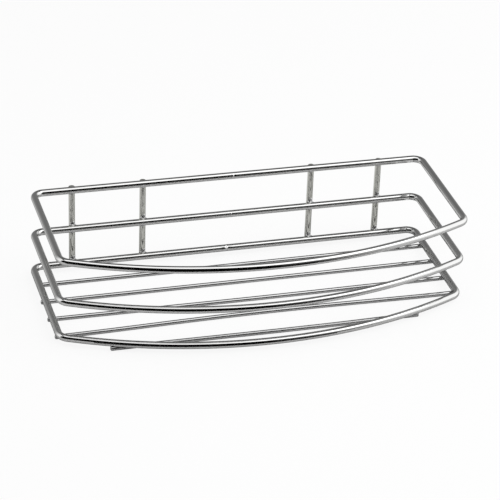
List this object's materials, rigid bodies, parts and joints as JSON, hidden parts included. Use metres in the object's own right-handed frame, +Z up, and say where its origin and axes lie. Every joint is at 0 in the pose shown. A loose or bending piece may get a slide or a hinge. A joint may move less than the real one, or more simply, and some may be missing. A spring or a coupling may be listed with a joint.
{
  "type": "wire wall shelf",
  "caption": "Chrome wire wall shelf: stacked bent-wire rings with a straight back and a bowed front, joined by uprights behind, with straight wires as its floor.",
  "frame": {"origin": "on the surface that the floor wires stand on, under the middle of the bounding box", "axes": "+X along the back rails to the right as seen from the front, +Y towards the wall, +Z up"},
  "size_m": [0.29, 0.1362, 0.067],
  "materials": {
    "ring_wire": "bright chrome plating",
    "upright_wire": "bright chrome plating",
    "floor_wire": "bright chrome plating"
  },
  "bodies": {
    "root": {"top_ring": "ring_wire", "middle_ring": "ring_wire", "bottom_ring": "ring_wire", "upright_left_outer": "upright_wire", "upright_left_inner": "upright_wire", "upright_right_inner": "upright_wire", "upright_right_outer": "upright_wire", "floor_wire_1": "floor_wire", "floor_wire_2": "floor_wire", "floor_wire_3": "floor_wire", "floor_wire_4": "floor_wire", "floor_wire_5": "floor_wire"}
  },
  "joints": []
}
